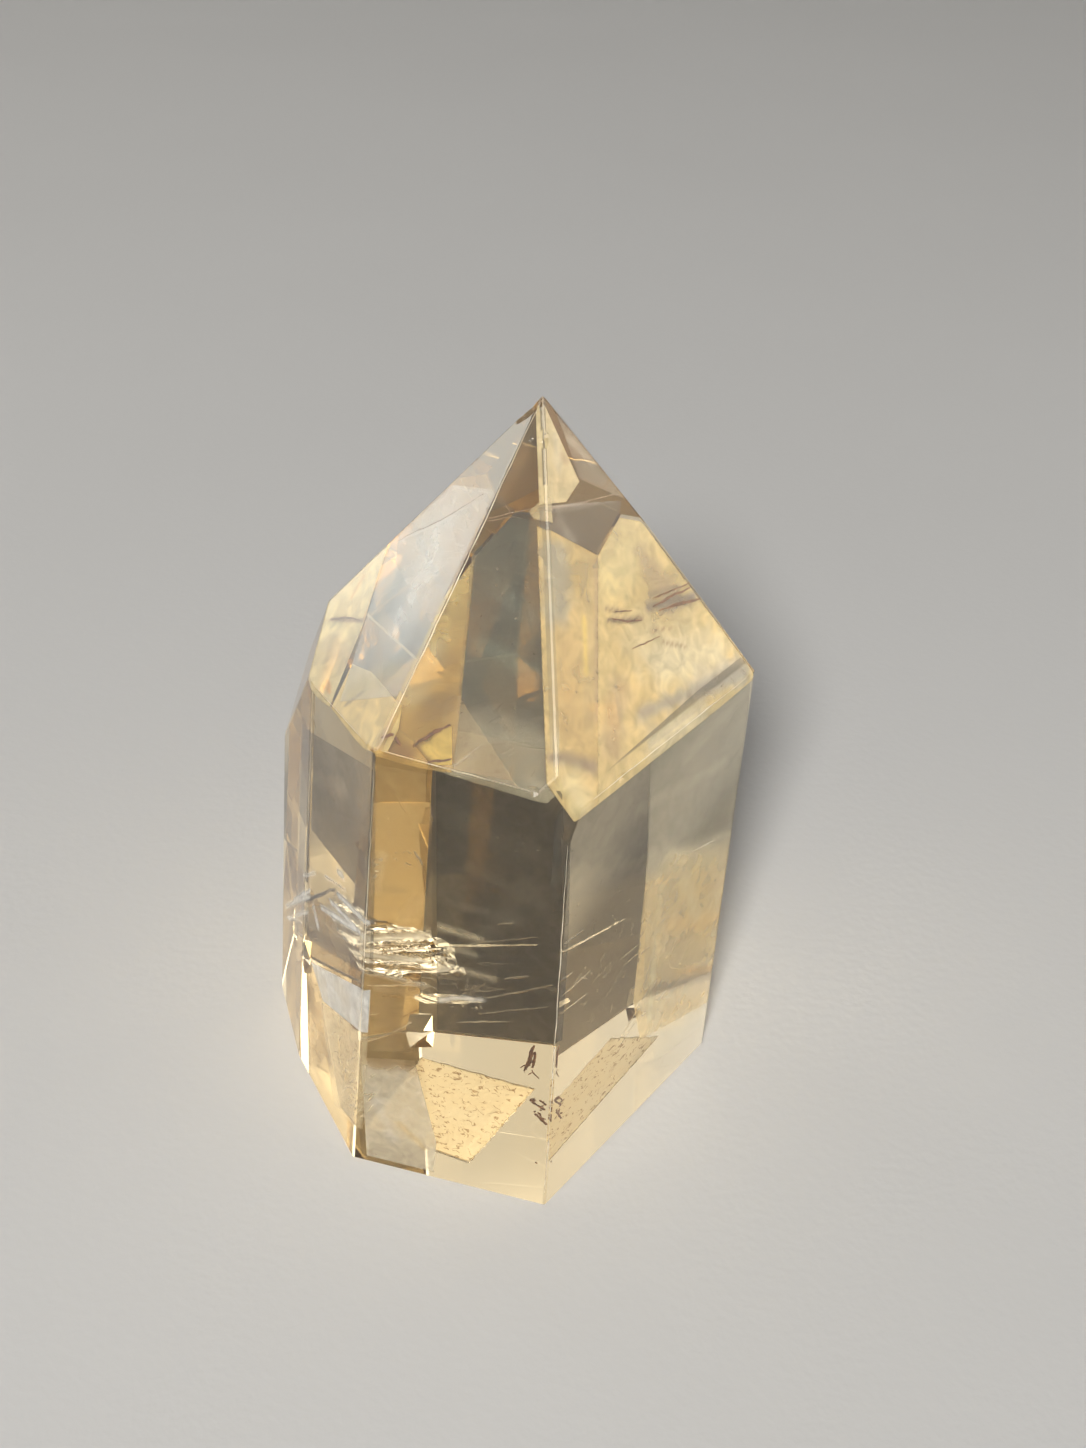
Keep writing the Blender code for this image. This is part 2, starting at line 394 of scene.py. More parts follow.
def makeFootPatch():
    n = footPatch["steps"]
    bm = bmesh.new()
    skins = []
    for top in (False, True):
        rows = [[bm.verts.new(patchSpot(i / n, j / n, top)) for j in range(n + 1)] for i in range(n + 1)]
        skins.append(rows)
    for rows in skins:
        for i in range(n):
            for j in range(n):
                bm.faces.new((rows[i][j], rows[i + 1][j], rows[i + 1][j + 1], rows[i][j + 1]))
    lowRim, topRim = (rimOf(rows) for rows in skins)
    for k in range(len(lowRim)):
        m = (k + 1) % len(lowRim)
        bm.faces.new((lowRim[k], lowRim[m], topRim[m], topRim[k]))
    inStone("frosted_foot_patch", bm, newMaterial("frostedFoot", frostSkin, footPatch))


makeFootPatch()
print("foot patch frosted")

# open cracks: thin air gaps with a shell-like ripple
crackLook = dict(
    gapIndex=0.645, roughness=0.04, cloudScale=400.0, detail=2.0,
    bumpScale=900, bumpStrength=0.5, bumpDepth=0.00004,
)
cracks = dict(
    # centre, half sizes, lean (degrees about x, about y), turn about z, ripple height and count, wander
    flashMiddle=dict(centre=(-2.6, -10.0, 19.8), half=(3.1, 1.1), lean=(2, -3), turn=6, ripple=0.08,
                     rings=2, wander=0.4, gap=0.03),
    streakUpper=dict(centre=(0.5, -6.0, 25.0), half=(6.0, 0.30), lean=(0, -4), turn=10, ripple=0.05,
                     rings=1, wander=0.4, gap=0.03),
)
lensShape = dict(
    spokes=64, loops=26, rimScale=1.7, noiseStep=(3.7, 1.9, 5.3),
    shellFrom=(0.15, 3.2),   # shell lines spread from beyond one long side, in half sizes
    wobble=1.6, wobbleScale=(0.22, 0.5), swell=1.2, swellScale=(0.18, 0.35),
)


def airSkin(tree, place, look):
    ripple = cloudNoise(tree, place, look["bumpScale"], look["detail"])
    bump = bumpFrom(tree, ripple, look["bumpStrength"], look["bumpDepth"])
    cloud = cloudNoise(tree, place, look["cloudScale"], look["detail"])
    rough = maths(tree, "MULTIPLY", cloud, look["roughness"])
    air = addNode(tree, "ShaderNodeBsdfGlass", Color=(1, 1, 1, 1), Roughness=rough, IOR=look["gapIndex"],
                  Normal=bump)
    return dict(Surface=air.outputs["BSDF"])


def addLens(bm, centre, half, lean, turn, ripple, rings, wander, gap, seed):
    # a closed lens: two skins that meet at a wandering rim
    shape = lensShape
    spokes, loops = shape["spokes"], shape["loops"]
    place = Matrix.Translation(centre)
    for angle, axis in ((turn, "Z"), (lean[0], "X"), (lean[1], "Y")):
        place = place @ Matrix.Rotation(math.radians(angle), 4, axis)
    shift = Vector(shape["noiseStep"]) * seed   # each lens has its own part of the noise
    origin = Vector((shape["shellFrom"][0] * half[0], shape["shellFrom"][1] * half[1]))

    def noiseAt(x, y, z):
        return noise.noise(Vector((x, y, z)) + shift)

    def skinPoint(angle, share, side):
        rim = shape["rimScale"]
        edge = 1 + wander * noiseAt(math.cos(angle) * rim, math.sin(angle) * rim, 0)
        x = half[0] * share * edge * math.cos(angle)
        y = half[1] * share * edge * math.sin(angle)
        away = (Vector((x, y)) - origin).length / half[1]
        wobble = noiseAt(x * shape["wobbleScale"][0], y * shape["wobbleScale"][1], 0)
        z = ripple * math.sin(away * math.pi * rings + shape["wobble"] * wobble)
        z += ripple * shape["swell"] * noiseAt(x * shape["swellScale"][0], y * shape["swellScale"][1], 1)
        z += side * gap * (1 - share ** 2)
        return place @ Vector((x, y, z))

    def ringAt(share, side):
        return [bm.verts.new(skinPoint(2 * math.pi * k / spokes, share, side)) for k in range(spokes)]

    middle = {side: bm.verts.new(skinPoint(0, 0, side)) for side in (-1, 1)}
    rim = ringAt(1, 0)
    for side in (-1, 1):
        last = None
        for ring in [ringAt(loop / loops, side) for loop in range(1, loops)] + [rim]:
            for k in range(spokes):
                m = (k + 1) % spokes
                inner = (middle[side],) if last is None else (last[k],)
                outer = () if last is None else (last[m],)
                bm.faces.new(inner + (ring[k], ring[m]) + outer)
            last = ring


def makeCracks():
    bm = bmesh.new()
    for seed, look in enumerate(cracks.values(), 1):
        addLens(bm, seed=seed, **look)
    inStone("open_cracks", bm, newMaterial("openCrack", airSkin, crackLook))


makeCracks()
print("cracks opened")

# places inside the stone are given on one of its faces: across it, up it and how deep under it, in mm
faces = dict(   # bearing from the front and slope, degrees
    wallFront=(-15.3, -0.6), wallRight=(53.0, -1.4), wallLeft=(-72.5, 4.0), wallLeftFront=(-61.9, 3.1),
    pointFront=(-10.9, 40.4), pointRight=(53.2, 30.9), pointLeft=(-67.4, 38.4),
)
sideFinder = dict(
    smallest=2.5,        # mm2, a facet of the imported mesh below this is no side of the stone
    sameWay=0.9999, sameDistance=0.05,   # cosine, mm
)


def sidesOfStone():
    # each flat side as its direction and its distance from the origin in mm
    look = sideFinder
    sides = []
    for facet in point.data.polygons:
        if facet.area < look["smallest"] * mm * mm:
            continue
        normal = facet.normal.copy()
        distance = facet.center.dot(normal) / mm
        if not any(normal.dot(n) > look["sameWay"] and abs(distance - d) < look["sameDistance"]
                   for n, d in sides):
            sides.append((normal, distance))
    return sides


sides = sidesOfStone()


def faceFrame(face):
    b, s = (math.radians(angle) for angle in faces[face])
    toward = Vector((math.sin(b) * math.cos(s), -math.cos(b) * math.cos(s), math.sin(s)))
    normal, distance = max(sides, key=lambda side: side[0].dot(toward))
    across = Vector((0, 0, 1)).cross(normal).normalized()
    return across, normal.cross(across), normal, distance


def underFace(face, across, up, depth):
    acrossWay, upWay, normal, distance = faceFrame(face)
    return acrossWay * across + upWay * up + normal * (distance - depth)


def insideStone(spot, margin):
    return all(normal.dot(spot) < distance - margin for normal, distance in sides)


# golden haze and painted light: thin veils just under the faces, tinted along soft streaks; most are golden
# haze, some are painted sheen, painted reflection, painted glints and painted shade
veilLook = dict(
    thick=0.05, step=0.32, margin=0.35, swell=0.5, swellScale=0.9, fade=0.5,
    cloudScale=130, cloudSpan=(0.30, 0.66), cloudCover=(0.72, 1.16),
    wispScale=620, wispDetail=2.0, wispBend=0.8, wispSpan=(0.3, 0.7), wispCover=(0.80, 1.12),
    shadeSpan=(0.35, 0.65), shade=(0.88, 1.0), through=0.12,
)
veils = dict(
    # cover is how much of the light a veil stops; a streak is (from, to, radius, tint, strength, cover)
    rightFaceMain=dict(
        face="pointRight", depth=0.9, cover=0.74, tint=(1, 0.8, 0.4),
        corners=[(-0.1, 48.5), (4.1, 50.3), (6.4, 49), (11.5, 40.3), (14.6, 31.1), (3.6, 30.8),
                 (-4, 30.8), (-11.4, 30.9)],
        streaks=[
            ((0.3, 46.1), (3.3, 46.7), 2.2, (1, 0.86, 0.46), 0.8, 0.76),
            ((5, 45.9), (6.2, 42.4), 1.5, (0.78, 0.6, 0.4), 0.7, 0.55),
            ((0.7, 40.3), (6.5, 37.7), 3, (1, 0.88, 0.56), 0.7, 0.72),
            ((2, 37.8), (8.9, 35.1), 2.4, (1, 0.92, 0.66), 0.8, 0.78),
            ((11.1, 32.8), (5.8, 33.7), 1.4, (0.88, 0.83, 0.72), 0.8, 0.7),
            ((11.7, 32.1), (-2.5, 35), 0.8, (0.46, 0.45, 0.42), 0.8, 0.75),
            ((4.2, 31.7), (-2.4, 32.2), 1.7, (1, 0.9, 0.64), 0.7, 0.75),
            ((-3.9, 37.8), (-7.2, 34.4), 1.5, (0.66, 0.52, 0.36), 0.6, 0.6),
            ((3.1, 42.3), (9.1, 40.8), 0.5, (0.3, 0.26, 0.26), 0.9, 0.88),
            ((4, 43.2), (8.1, 42.2), 0.3, (0.42, 0.33, 0.27), 0.8, 0.8),
            ((4.3, 41.3), (8.4, 40.4), 0.25, (0.45, 0.36, 0.3), 0.7, 0.8),
            ((-1.7, 44.3), (0, 43.4), 0.22, (0.3, 0.2, 0.14), 0.8, 0.85),
            ((-2, 43.4), (1.9, 41.8), 0.25, (0.3, 0.2, 0.14), 0.9, 0.88),
            ((2.4, 40.4), (4.8, 39.6), 0.18, (0.4, 0.27, 0.17), 0.8, 0.85),
            ((3, 39.1), (5.7, 37.4), 0.18, (0.4, 0.27, 0.17), 0.8, 0.85),
        ],
    ),
    rightFaceBand=dict(
        face="pointRight", depth=0.9, cover=0.7, tint=(1, 0.76, 0.36),
        corners=[(-5, 53.3), (-0.1, 48.5), (-11.4, 30.9), (-14.3, 31), (-17, 35.3), (-13.1, 41.4)],
        streaks=[
            ((-4.5, 50.3), (-6.8, 46.3), 1.5, (0.84, 0.79, 0.62), 0.85, 0.5),
            ((-1.8, 48.3), (-8.4, 37.3), 0.9, (1, 0.8, 0.44), 0.5, 0.6),
            ((-4.5, 44.7), (-6.7, 40.8), 0.35, (1, 0.78, 0.26), 0.95, 0.85),
            ((-0.4, 48.2), (-7.6, 36.9), 0.45, (0.76, 0.58, 0.38), 0.7, 0.62),
            ((-13.5, 36.5), (-10.3, 33.9), 0.7, (0.36, 0.29, 0.23), 0.9, 0.85),
            ((-13, 33.9), (-13.1, 32.1), 1.6, (1, 0.88, 0.52), 0.85, 0.75),
            ((-7.4, 44), (-10.9, 38.1), 1.6, (1, 0.74, 0.36), 0.6, 0.62),
        ],
    ),
    apexGold=dict(
        face="pointRight", depth=0.7, cover=0.8, tint=(1, 0.84, 0.5),
        corners=[(0.6, 64.5), (1.1, 54.7), (-1.3, 53.8), (-4.2, 54.7)],
        streaks=[
            ((0.6, 56.8), (0.3, 57.3), 0.4, (0.72, 0.5, 0.3), 0.7, 0.8),
            ((0.6, 58.9), (-0.7, 56.4), 0.5, (1, 0.9, 0.66), 0.6, 0.8),
        ],
    ),
    # painted shade: a grey veil standing in for the darker panel seen through the right face near the tip
    apexPaintedShade=dict(
        face="pointRight", depth=0.7, cover=0.46, tint=(0.26, 0.24, 0.2),
        corners=[(-4.3, 54.6), (-1.3, 53.6), (5.2, 51.6), (4, 50.4), (-0.2, 48.6), (-5.1, 53.3)],
        streaks=[
            ((-3.4, 54.2), (4.7, 51.9), 0.35, (1, 0.88, 0.76), 0.8, 0.6),
            ((-2.8, 52.8), (-2.3, 50.3), 0.6, (0.9, 0.84, 0.74), 0.5, 0.4),
        ],
    ),
    apexMistUpper=dict(
        face="pointRight", depth=0.7, cover=0.22, tint=(0.84, 0.76, 0.62),
        corners=[(1.3, 54.5), (1.7, 60.7), (7.9, 49.4), (5, 51.8)],
        streaks=[
            ((2, 58.1), (3.3, 55.8), 0.6, (1, 0.9, 0.7), 0.6, 0.5),
        ],
    ),
    frontFaceGold=dict(
        face="pointFront", depth=0.8, cover=0.5, tint=(1, 0.67, 0.22),
        corners=[(0.1, 43.3), (0.7, 35.8), (0.8, 30.9), (1.2, 25), (-3.4, 25), (-6.7, 24.9),
                 (-6.5, 29.9), (-2.8, 37)],
        streaks=[
            ((-0.7, 41), (-1.6, 35.9), 1.8, (1, 0.8, 0.34), 0.85, 0.64),
            ((-2.3, 34.1), (-3.3, 31.1), 1.5, (1, 0.86, 0.5), 0.8, 0.52),
            ((-4.2, 26.2), (-2.8, 25.9), 0.8, (0.46, 0.26, 0.12), 0.8, 0.6),
            ((-5.1, 26.9), (-4.5, 27.8), 0.6, (0.55, 0.33, 0.16), 0.7, 0.55),
            ((-1.7, 29.5), (-0.1, 30.6), 1, (0.72, 0.52, 0.26), 0.6, 0.42),
        ],
    ),
    frontFaceTriangle=dict(
        face="pointFront", depth=0.6, cover=0.8, tint=(1, 0.74, 0.22),
        corners=[(-2.4, 26.7), (-0.5, 28.3), (0.4, 28.7), (0.9, 25.6), (-0.8, 25.3)],
        streaks=[
            ((-2.3, 26.7), (-0.5, 28.3), 0.34, (0.24, 0.12, 0.05), 0.95, 0.92),
            ((-0.8, 25.3), (-2.3, 26.6), 0.34, (0.4, 0.22, 0.08), 0.9, 0.85),
        ],
    ),
    frontFaceFoot=dict(
        face="pointFront", depth=1, cover=0.34, tint=(1, 0.9, 0.62),
        corners=[(-1, 25.2), (9.5, 23.6), (8.6, 30.8), (-0.3, 31.8)],
        streaks=[
            ((8.6, 30.8), (-0.3, 31.8), 2.4, (1, 0.9, 0.62), 1, 0.02),
        ],
    ),
    # painted shade: a dark veil standing in for the dark view through the top of the front face
    frontFacePaintedShade=dict(
        face="pointFront", depth=0.7, cover=0.56, tint=(0.15, 0.12, 0.075),
        corners=[(3.5, 56.8), (4.9, 49.2), (3.2, 47.9), (0.2, 46), (0.6, 49.5)],
        streaks=[
            ((1.2, 48), (2.6, 52), 0.8, (0.5, 0.4, 0.25), 0.6, 0.36),
        ],
    ),
    # painted shade: a thin grey veil tinting the dark view of the floor behind, seen through the front face
    frontFaceGreyShade=dict(
        face="pointFront", depth=0.75, cover=0.26, tint=(0.27, 0.29, 0.21),
        corners=[(2.6, 46.2), (5.6, 46.2), (9.2, 27.9), (0.7, 28.4), (-0.2, 42.9)],
        streaks=[
            ((1, 29), (9, 28.4), 2, (0.6, 0.62, 0.5), 0.8, 0.16),
            ((2.4, 40), (5.6, 38.2), 0.9, (0.44, 0.52, 0.42), 0.6, 0.34),
            ((1.6, 35.5), (7, 33.6), 0.8, (0.4, 0.5, 0.38), 0.6, 0.34),
        ],
    ),
    frontFaceTip=dict(
        face="pointFront", depth=0.8, cover=0.62, tint=(1, 0.82, 0.46),
        corners=[(3.9, 46.8), (5.1, 48.3), (6, 48), (6.3, 46.1), (4.4, 46.3)],
    ),
    leftFaceGold=dict(
        face="pointLeft", depth=0.8, cover=0.78, tint=(1, 0.84, 0.46),
        corners=[(-3.5, 42), (-1.1, 39.1), (0.9, 35.2), (3.5, 31.6), (4.7, 28.6), (-3.5, 25.9),
                 (-8.8, 32.9), (-6.1, 41.4)],
        streaks=[
            ((-2.2, 40.1), (-0.2, 37.1), 0.4, (1, 0.58, 0.18), 0.8, 0.75),
            ((-0.2, 37.1), (0.6, 35.8), 0.35, (1, 0.55, 0.16), 0.8, 0.75),
            ((-3.3, 35.6), (-3.7, 37.6), 0.3, (1, 0.62, 0.22), 0.7, 0.7),
            ((-4, 32.5), (0.6, 35.3), 0.22, (0.3, 0.17, 0.1), 0.95, 0.92),
            ((1.6, 28.7), (2.8, 29), 0.25, (0.85, 0.42, 0.1), 0.9, 0.85),
            ((1.7, 29.4), (3.1, 29), 0.2, (0.85, 0.42, 0.1), 0.9, 0.85),
            ((-1, 31), (2.7, 32.3), 2, (1, 0.8, 0.5), 0.6, 0.5),
        ],
    ),
    # painted sheen: a milky veil, brightest along its middle band, standing in for soft light mirrored by
    # this face
    leftFacePaintedSheen=dict(
        face="pointLeft", depth=0.6, cover=0.36, tint=(0.82, 0.82, 0.77),
        corners=[(-0.5, 49.4), (5.2, 52), (11.8, 34.6), (5.4, 29.5), (-3.1, 41.5)],
        streaks=[
            ((3, 46.5), (5.5, 38.4), 2.4, (0.96, 0.97, 0.94), 0.8, 0.5),
            ((0.5, 40.4), (4, 34), 1.4, (0.7, 0.68, 0.58), 0.8, 0.46),
            ((9.5, 36), (6, 31), 1.4, (0.82, 0.72, 0.46), 0.8, 0.46),
        ],
    ),
    leftFaceLow=dict(
        face="pointLeft", depth=0.8, cover=0.86, tint=(1, 0.78, 0.36),
        corners=[(3.3, 32.3), (6.6, 33.6), (12.5, 34.3), (15.5, 31.5), (11.7, 29.2), (4.7, 28.6)],
        streaks=[
            ((6.3, 29.9), (7.2, 31.8), 0.2, (0.35, 0.24, 0.15), 0.9, 0.85),
        ],
    ),
    rightWallGold=dict(
        face="wallRight", depth=0.9, cover=0.18, tint=(0.8, 0.77, 0.6),
        corners=[(-3.5, 50.1), (3.8, 50.5), (14.3, 51.6), (15, 44.5), (17.7, 14.8), (15.2, 2.7),
                 (3.5, 5.1), (-0.2, 17)],
        streaks=[
            ((6.4, 28), (9.9, 18.3), 3.2, (1, 0.78, 0.36), 0.95, 0.3),
            ((4.9, 11.3), (11.3, 8.3), 2.4, (1, 0.78, 0.4), 0.9, 0.66),
            ((1.5, 33.5), (10.7, 27.4), 1.8, (1, 0.86, 0.54), 0.8, 0.6),
            ((0.9, 17.2), (13, 10.2), 0.7, (0.36, 0.28, 0.2), 0.85, 0.66),
            ((5.5, 16.4), (13.2, 11.2), 0.5, (1, 0.62, 0.22), 0.8, 0.7),
            ((0.1, 29.8), (2.1, 20.6), 1.2, (1, 0.8, 0.44), 0.85, 0.66),
        ],
    ),
    stripGold=dict(
        face="wallFront", depth=1, cover=0.08, tint=(1, 0.74, 0.36),
        corners=[(-7, 50), (-7, 15.5), (-1.7, 17), (0.2, 23), (0.8, 50.1)],
        streaks=[
            ((-3.4, 21), (-2.8, 17.4), 2.2, (0.46, 0.3, 0.12), 0.9, 0.6),
            ((-1.8, 49), (0.3, 45), 1.2, (0.78, 0.48, 0.15), 0.8, 0.45),
            ((-6.4, 29.9), (0.1, 32.3), 0.8, (1, 0.93, 0.72), 0.9, 0.7),
            ((-6.3, 28.1), (0.2, 29.1), 0.55, (1, 0.94, 0.76), 0.9, 0.76),
            ((-6.1, 26.2), (-0.3, 26.1), 0.42, (1, 0.95, 0.8), 0.9, 0.74),
            ((-5, 24.2), (-1, 24.8), 0.4, (0.66, 0.46, 0.22), 0.8, 0.6),
            ((-4.8, 36), (-3.8, 40.4), 0.6, (1, 0.86, 0.54), 0.6, 0.4),
            ((-2.4, 33), (-0.6, 36.4), 0.7, (0.8, 0.55, 0.24), 0.7, 0.42),
        ],
    ),
    rightWallAmber=dict(
        face="wallRight", depth=1.1, cover=0.6, tint=(1, 0.79, 0.42),
        corners=[(-2, 37), (13.5, 31), (15.3, 11), (14.1, 5.8), (0.1, 11.1), (-1.9, 18)],
        streaks=[
            ((-2, 37), (13.5, 31), 3.2, (0.8, 0.78, 0.66), 1, 0.08),
            ((3, 24.5), (12.5, 18.5), 1.3, (1, 0.7, 0.3), 0.8, 0.74),
            ((5, 29.5), (8.5, 22), 1.2, (1, 0.9, 0.62), 0.7, 0.66),
            ((0.9, 30.5), (1.4, 13), 0.55, (1, 0.9, 0.58), 0.85, 0.8),
            ((1.5, 17.2), (13.4, 10.4), 0.55, (0.46, 0.34, 0.2), 0.85, 0.84),
            ((2.5, 21.2), (8, 20), 0.5, (0.72, 0.5, 0.26), 0.7, 0.74),
            ((8, 25.5), (12.8, 23.5), 0.5, (0.78, 0.58, 0.32), 0.7, 0.74),
        ],
    ),
    # painted shade: a dark veil standing in for the dark surroundings seen through the right wall
    rightWallPaintedShade=dict(
        face="wallRight", depth=1.3, cover=0.42, tint=(0.13, 0.12, 0.1),
        corners=[(-17, 49), (12.5, 51), (14.5, 31), (-2, 33), (-15, 40)],
        streaks=[
            ((14.5, 31), (-2, 33), 3.6, (0.3, 0.28, 0.22), 1, 0.04),
            ((-2, 33), (-15, 40), 3, (0.3, 0.28, 0.22), 1, 0.06),
            ((3, 44.5), (12, 47), 0.9, (0.24, 0.22, 0.18), 0.7, 0.26),
            ((-4, 43), (10, 40), 0.8, (0.24, 0.22, 0.18), 0.7, 0.24),
        ],
    ),
    # painted shade: a dark veil standing in for the dark surroundings seen through the front wall, with a
    # few painted glint lines
    frontWallPaintedShade=dict(
        face="wallFront", depth=1.2, cover=0.5, tint=(0.1, 0.085, 0.06),
        corners=[(1.1, 50.5), (11.5, 50.5), (12.2, 37), (12.3, 22.4), (0.7, 20.6)],
        streaks=[
            ((3, 46), (9, 44), 1.8, (0.16, 0.14, 0.1), 0.8, 0.38),
            ((9, 40), (5, 33), 1.4, (0.2, 0.18, 0.13), 0.8, 0.38),
            ((4, 41), (10.5, 38.5), 0.6, (0.3, 0.27, 0.2), 0.7, 0.42),
            ((2, 36.5), (8, 36), 0.5, (0.3, 0.27, 0.2), 0.7, 0.42),
            ((1, 33.5), (4.8, 33), 0.5, (0.9, 0.78, 0.52), 0.9, 0.55),
            ((1, 31.4), (4.4, 31), 0.4, (0.9, 0.8, 0.56), 0.8, 0.5),
            ((0.9, 29.2), (6, 28.6), 0.45, (0.8, 0.7, 0.5), 0.8, 0.46),
            ((0.9, 24.4), (2.5, 25.3), 0.36, (1, 0.98, 0.92), 1, 0.95),
            ((2.5, 25.3), (5, 25.7), 0.34, (1, 0.98, 0.92), 1, 0.95),
        ],
    ),
    # painted shade: a dark veil standing in for the dark surroundings seen through the left front wall
    leftWallPaintedShade=dict(
        face="wallLeftFront", depth=1, cover=0.54, tint=(0.14, 0.12, 0.1),
        corners=[(-7, 41), (11.5, 48), (11.3, 25), (-3, 17.5), (-8, 21)],
        streaks=[
            ((-8, 20), (11.3, 27), 1.2, (0.4, 0.34, 0.26), 0.5, 0.32),
            ((-2, 38), (6, 42), 0.9, (0.3, 0.27, 0.22), 0.7, 0.24),
        ],
    ),
    leftWallFlash=dict(
        face="wallLeftFront", depth=0.6, cover=0.03, tint=(1, 1, 0.97),
        corners=[(-6, 20), (-6, 34), (11.5, 34), (11.5, 27), (2, 19)],
        streaks=[
            ((4.7, 29.3), (11.1, 31.1), 0.34, (1, 1, 0.97), 1, 0.95),
            ((2.7, 27), (10.4, 29.1), 0.28, (1, 1, 0.97), 1, 0.9),
            ((0.6, 24.4), (9, 28.5), 0.32, (1, 1, 0.97), 1, 0.95),
            ((-1.5, 22.8), (-0.5, 21.3), 0.46, (1, 1, 0.97), 1, 0.95),
            ((4.6, 31.9), (5.8, 32.3), 0.42, (1, 1, 0.97), 1, 0.9),
            ((-4.5, 24.5), (-1, 27.5), 0.24, (1, 0.98, 0.92), 1, 0.8),
            ((1.5, 29), (6.5, 31.2), 0.2, (1, 0.98, 0.92), 1, 0.7),
        ],
    ),
    leftEndFlash=dict(
        face="wallLeft", depth=0.6, cover=0.03, tint=(1, 1, 0.97),
        corners=[(-12, 10), (-12, 15), (2.5, 27), (3, 22), (-3, 14)],
        streaks=[
            ((-6.3, 16.6), (2.3, 25.1), 0.32, (1, 1, 0.97), 1, 0.9),
            ((-11.1, 11.8), (2.4, 24.4), 0.26, (1, 1, 0.97), 1, 0.85),
            ((-9.8, 11.2), (0.4, 20.7), 0.24, (1, 0.98, 0.92), 1, 0.8),
        ],
    ),
    stripFoot=dict(
        face="wallFront", depth=1, cover=0.74, tint=(1, 0.93, 0.76),
        corners=[(-7, 14.6), (-1.6, 15.9), (0.4, 5), (0, 0.5), (-7, 0.5)],
        streaks=[
            ((-7, 14.6), (-1.6, 15.9), 1.6, (0.7, 0.5, 0.26), 0.9, 0.3),
            ((-5.6, 9), (-4.2, 4), 0.7, (1, 0.97, 0.88), 0.9, 0.8),
            ((-3.4, 6.5), (-0.8, 3.6), 0.4, (1, 0.8, 0.46), 0.8, 0.7),
        ],
    ),
    # painted reflection: a nearly white veil standing in for the bright sky this panel mirrors inside the
    # stone
    leftWallPaintedReflection=dict(
        face="wallLeftFront", depth=0.8, cover=0.94, tint=(1, 0.99, 0.95),
        corners=[(-2.5, 15), (11.5, 23.2), (11.7, 17.7), (0.8, 12.6)],
    ),
    leftWallGold=dict(
        face="wallLeftFront", depth=0.8, cover=0.44, tint=(1, 0.85, 0.55),
        corners=[(-0.1, 11.9), (11.7, 17.6), (12.2, 4.3), (3.8, 1.2)],
        streaks=[
            ((5.3, 10.1), (8, 7.1), 1.2, (1, 0.74, 0.36), 0.6, 0.5),
        ],
    ),
)


def fromLine(spot, start, end):
    way = end - start
    share = max(0, min(1, (spot - start).dot(way) / way.length_squared))
    return (spot - start - way * share).length


def veilSheet(face, depth, corners):
    # a fine grid on the face's plane, cut to the outline and to the inside of the stone
    across, up, normal, distance = faceFrame(face)
    outline = [Vector(corner) for corner in corners]
    middle = sum(outline, Vector((0, 0))) / len(outline)
    lowU, highU = min(c.x for c in outline), max(c.x for c in outline)
    lowV, highV = min(c.y for c in outline), max(c.y for c in outline)
    step = veilLook["step"]
    sheet = bmesh.new()
    bmesh.ops.create_grid(sheet, x_segments=int((highU - lowU) / step) + 2,
                          y_segments=int((highV - lowV) / step) + 2, size=0.5)
    size = Matrix.Diagonal((highU - lowU, highV - lowV, 1, 1))
    shift = Matrix.Translation(((lowU + highU) / 2, (lowV + highV) / 2, distance - depth))
    turn = Matrix((across, up, normal)).transposed().to_4x4()
    bmesh.ops.transform(sheet, matrix=turn @ shift @ size, verts=sheet.verts)
    cuts = []
    for a, b in zip(outline, outline[1:] + outline[:1]):
        out = Vector((b.y - a.y, a.x - b.x)).normalized()
        if out.dot(middle - a) > 0:
            out = -out
        way = across * out.x + up * out.y
        cuts.append((way, way.dot(across * a.x + up * a.y)))
    cuts += [(way, far - veilLook["margin"]) for way, far in sides
             if way.dot(normal) < sideFinder["sameWay"]]
    for way, far in cuts:
        bmesh.ops.bisect_plane(sheet, geom=sheet.verts[:] + sheet.edges[:] + sheet.faces[:],
                               plane_co=way * far, plane_no=way, clear_outer=True)
    return sheet, across, up, normal


def veilTone(spot, around, cover, tint, streaks):
    # the veil's tint and cover at a spot, drawn toward each streak that passes near
    look = veilLook
    swell = 1 + look["swell"] * noise.noise(around * look["swellScale"])
    tint = Vector(tint)
    for start, end, radius, streakTint, strength, streakCover in streaks:
        near = fromLine(spot, Vector(start), Vector(end)) / (radius * swell)
        share = strength * max(0, 1 - near * near * look["fade"]) ** 2
        tint = tint.lerp(Vector(streakTint), share)
        cover += (streakCover - cover) * share
    return tint, cover


def addVeil(bm, face, depth, cover, tint, corners, streaks=()):
    coverLayer, tintLayer = bm.verts.layers.float["cover"], bm.verts.layers.float_color["tint"]
    sheet, across, up, normal = veilSheet(face, depth, corners)
    upper, lower = {}, {}
    for vert in sheet.verts:
        spot = Vector((vert.co.dot(across), vert.co.dot(up)))
        tone, thickness = veilTone(spot, vert.co, cover, tint, streaks)
        for layer, offset in ((upper, 0), (lower, veilLook["thick"])):
            layer[vert] = bm.verts.new(vert.co - normal * offset)
            layer[vert][coverLayer] = 1 - math.sqrt(1 - thickness)   # light meets both skins
            layer[vert][tintLayer] = (*tone, 1)
    for facet in sheet.faces:
        bm.faces.new([upper[v] for v in facet.verts])
        bm.faces.new([lower[v] for v in reversed(facet.verts)])
    for edge in sheet.edges:
        if len(edge.link_faces) == 1:
            a, b = edge.verts
            bm.faces.new((upper[a], upper[b], lower[b], lower[a]))
    sheet.free()


